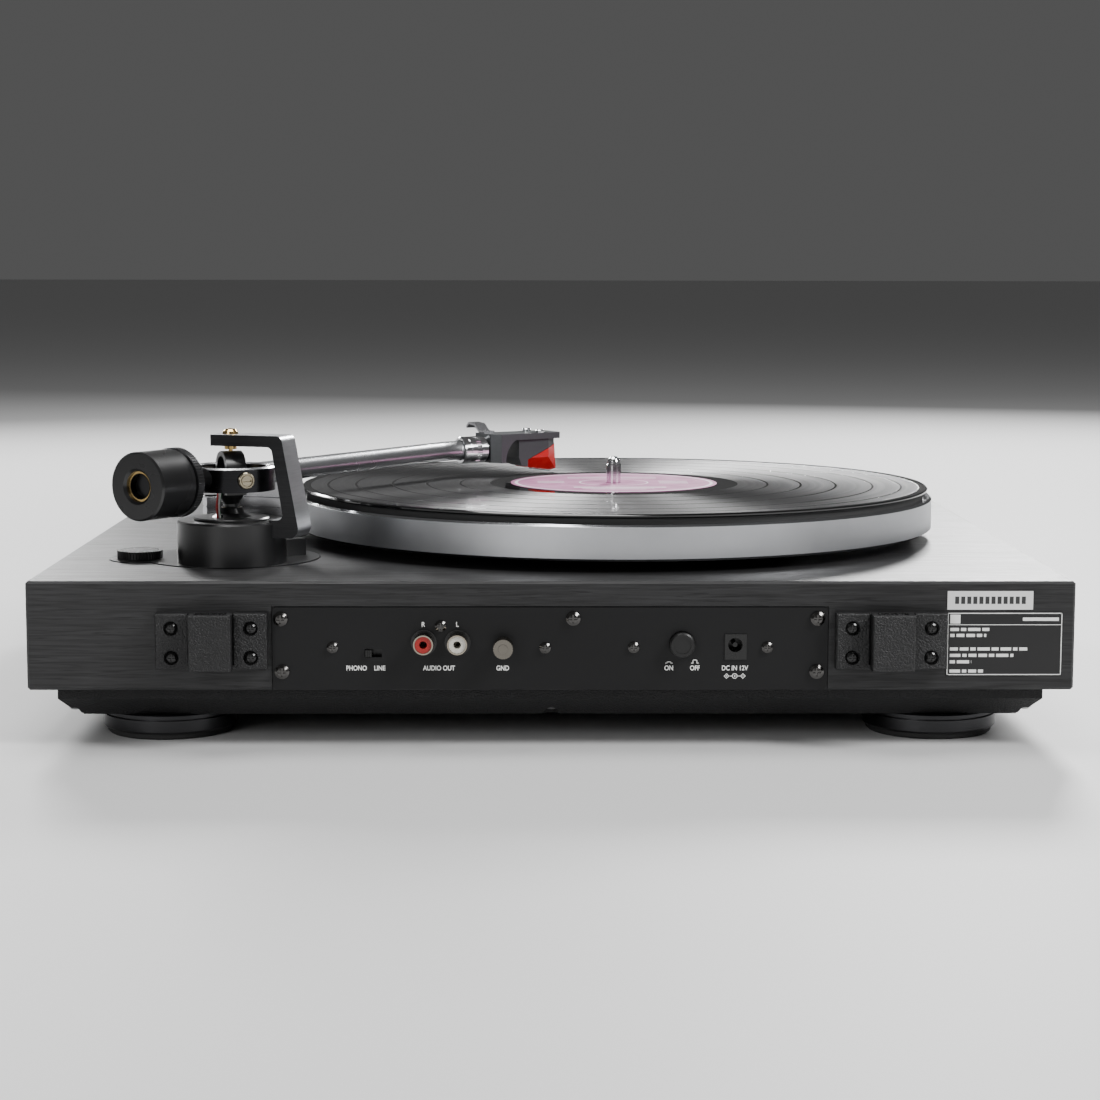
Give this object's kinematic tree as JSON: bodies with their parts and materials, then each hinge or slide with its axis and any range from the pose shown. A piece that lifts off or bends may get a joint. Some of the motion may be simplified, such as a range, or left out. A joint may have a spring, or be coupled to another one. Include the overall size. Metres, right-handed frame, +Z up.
{
  "type": "turntable record player",
  "caption": "Belt-drive record player with a black wood-grain plinth, aluminium platter, record, curved tonearm on a ringed gimbal, and a rear connector panel.",
  "frame": {"origin": "centre of the footprint, on the surface the feet stand on", "axes": "+X towards the tonearm side, -Y the listener's front, +Y the connector side, +Z up"},
  "size_m": [0.435, 0.379, 0.1289],
  "materials": {
    "wood_grain_vinyl": "black wood-grain, satin",
    "pan_plastic": "moulded, matte",
    "zinc_steel": "zinc plated",
    "foot_satin": "black satin",
    "pad_rubber": "matte",
    "brass": "turned",
    "polished_steel": "polished",
    "sub_plastic": "moulded",
    "platter_aluminium": "satin turned, diamond-cut edges",
    "mat_rubber": "fine ribbed",
    "vinyl": "glossy, grooved",
    "label_paper": "coated paper",
    "zinc_sheet": "zinc plated",
    "motor_can": "plated steel",
    "belt_rubber": "flat, matte",
    "panel_black": "fine textured black",
    "black_nickel": "black nickel",
    "hinge_plastic": "spark textured",
    "dark_screw": "blackened",
    "sticker": "printed film",
    "socket_plastic": "moulded black",
    "socket_nickel": "nickel plated, knurled",
    "insert_red": "moulded",
    "insert_white": "moulded",
    "button_plastic": "satin",
    "circuit_board": "solder mask",
    "arm_black": "satin black",
    "bridge_anodised": "anodised, brushed edge",
    "ring_black": "anodised, polished rim",
    "pivot_brass": "turned, slotted",
    "tube_satin": "satin",
    "dark_steel": "threaded, dark",
    "counterweight_black": "satin black",
    "dial_dark": "knurled",
    "shell_grey": "satin",
    "lift_steel": "satin",
    "cartridge_grey": "moulded",
    "stylus_red": "translucent red",
    "stylus_metal": "drawn",
    "bridge_silver": "satin",
    "lever_plastic": "moulded",
    "knob_black": "ribbed, printed scale",
    "wire_cover": "thin insulated strands",
    "knob_metal": "spun, knurled"
  },
  "bodies": {
    "chassis": {"plinth": "wood_grain_vinyl", "base_pan": "pan_plastic", "chassis_screws": "zinc_steel", "foot_shells": "foot_satin", "foot_pads": "pad_rubber", "bearing_housing": "brass", "motor_plate": "zinc_sheet", "motor_body": "motor_can", "drive_belt": "belt_rubber", "rear_panel": "panel_black", "rear_panel_screws": "black_nickel", "hinge_bracket_left": "hinge_plastic", "hinge_bracket_right": "hinge_plastic", "hinge_screws": "dark_screw", "rear_labels": "sticker", "rca_block": "socket_plastic", "rca_shells": "socket_nickel", "rca_insert_red": "insert_red", "rca_insert_white": "insert_white", "ground_post": "socket_nickel", "dc_jack": "socket_plastic", "switch_bodies": "socket_plastic", "main_board": "circuit_board", "arm_base_plate": "arm_black", "arm_base": "arm_black", "bearing_bridge": "bridge_anodised", "yaw_bearings": "brass", "lift_housing": "arm_black", "arm_rest": "arm_black", "arm_wires": "wire_cover"},
    "platter": {"platter": "platter_aluminium", "sub_platter": "sub_plastic", "spindle": "polished_steel", "platter_mat": "mat_rubber", "record": "vinyl", "record_label": "label_paper"},
    "motor_pulley": {"motor_pulley": "brass"},
    "yoke": {"gimbal_yoke": "arm_black"},
    "tonearm": {"gimbal_ring": "ring_black", "pitch_pivot_screws": "pivot_brass", "arm_tube": "tube_satin", "rear_stub": "dark_steel", "headshell": "shell_grey", "finger_lift": "lift_steel", "headshell_screws": "polished_steel", "cartridge_body": "cartridge_grey", "stylus_holder": "stylus_red", "cantilever": "stylus_metal"},
    "weight_insert": {"counterweight_insert": "brass"},
    "weight": {"counterweight": "counterweight_black"},
    "dial": {"dial_ring": "dial_dark"},
    "collar": {"locking_collar": "polished_steel"},
    "lift": {"lift_bridge": "bridge_silver"},
    "cue_lever": {"cue_lever": "lever_plastic"},
    "rest_clip": {"rest_clip": "lever_plastic"},
    "antiskate": {"antiskate_knob": "knob_black"},
    "speed_knob": {"speed_knob": "knob_metal"},
    "power_button": {"power_button": "button_plastic"},
    "slide_switch": {"slide_switch_knob": "button_plastic"},
    "ground_nut": {"ground_nut": "socket_nickel"}
  },
  "joints": [
    {"name": "platter_spin", "type": "hinge", "parent": "chassis", "child": "platter", "pos_m": [-0.0324, 0, 0.06], "axis": [0, 0, 1], "continuous": true},
    {"name": "pulley_spin", "type": "hinge", "parent": "chassis", "child": "motor_pulley", "pos_m": [-0.1134, -0.081, 0.07], "axis": [0, 0, 1], "continuous": true},
    {"name": "arm_yaw", "type": "hinge", "parent": "chassis", "child": "yoke", "pos_m": [0.1396, 0.1137, 0.1075], "axis": [0, 0, 1], "range_deg": [-4.2, 25.5]},
    {"name": "arm_pitch", "type": "hinge", "parent": "yoke", "child": "tonearm", "pos_m": [0.1396, 0.1137, 0.1075], "axis": [-0.4368, 0.8996, 0], "range_deg": [0, 3.86]},
    {"name": "lift_slide", "type": "slide", "parent": "chassis", "child": "lift", "axis": [0, 0, 1], "range_m": [0, 0.0019]},
    {"name": "cue_lever_turn", "type": "hinge", "parent": "chassis", "child": "cue_lever", "pos_m": [0.1495, 0.076, 0.08], "axis": [-0.9763, -0.2164, 0], "range_deg": [0, 35]},
    {"name": "weight_turn", "type": "hinge", "parent": "tonearm", "child": "weight_insert", "pos_m": [0.16378, 0.15165, 0.108], "axis": [-0.5373, -0.8434, 0], "range_deg": [-360, 360]},
    {"name": "weight_travel", "type": "slide", "parent": "weight_insert", "child": "weight", "axis": [-0.5373, -0.8434, 0], "range_m": [-0.0018, 0.0018]},
    {"name": "dial_turn", "type": "hinge", "parent": "weight", "child": "dial", "pos_m": [0.15733, 0.14153, 0.108], "axis": [-0.5373, -0.8434, 0], "range_deg": [-170, 170]},
    {"name": "collar_turn", "type": "hinge", "parent": "tonearm", "child": "collar", "pos_m": [0.04815, -0.02985, 0.108], "axis": [-0.8517, -0.524, 0], "range_deg": [0, 60]},
    {"name": "clip_swing", "type": "hinge", "parent": "chassis", "child": "rest_clip", "pos_m": [0.13553, 0.00389, 0.0986], "axis": [0.1206, 0.9927, 0], "range_deg": [-180, 0]},
    {"name": "antiskate_turn", "type": "hinge", "parent": "chassis", "child": "antiskate", "pos_m": [0.1815, 0.1038, 0.0725], "axis": [0, 0, 1], "range_deg": [-90, 90]},
    {"name": "speed_turn", "type": "hinge", "parent": "chassis", "child": "speed_knob", "pos_m": [-0.185, -0.15, 0.0755], "axis": [0, 0, 1], "range_deg": [-45, 45]},
    {"name": "power_press", "type": "slide", "parent": "chassis", "child": "power_button", "axis": [0, -1, 0], "range_m": [0, 0.0025], "stiffness_N_per_m": 400},
    {"name": "phono_line_slide", "type": "slide", "parent": "chassis", "child": "slide_switch", "axis": [-1, 0, 0], "range_m": [0, 0.0038]},
    {"name": "ground_nut_turn", "type": "hinge", "parent": "chassis", "child": "ground_nut", "pos_m": [0.0202, 0.18, 0.043], "axis": [0, 1, 0], "range_deg": [0, 720]}
  ],
  "couplings": [
    {"joint": "pulley_spin", "follows": "platter_spin", "ratio": 13.54},
    {"joint": "cue_lever_turn", "follows": "arm_pitch", "ratio": 9},
    {"joint": "lift_slide", "follows": "arm_pitch", "m_per_rad": 0.0281},
    {"joint": "weight_travel", "follows": "weight_turn", "m_per_rad": 0.0002865}
  ]
}
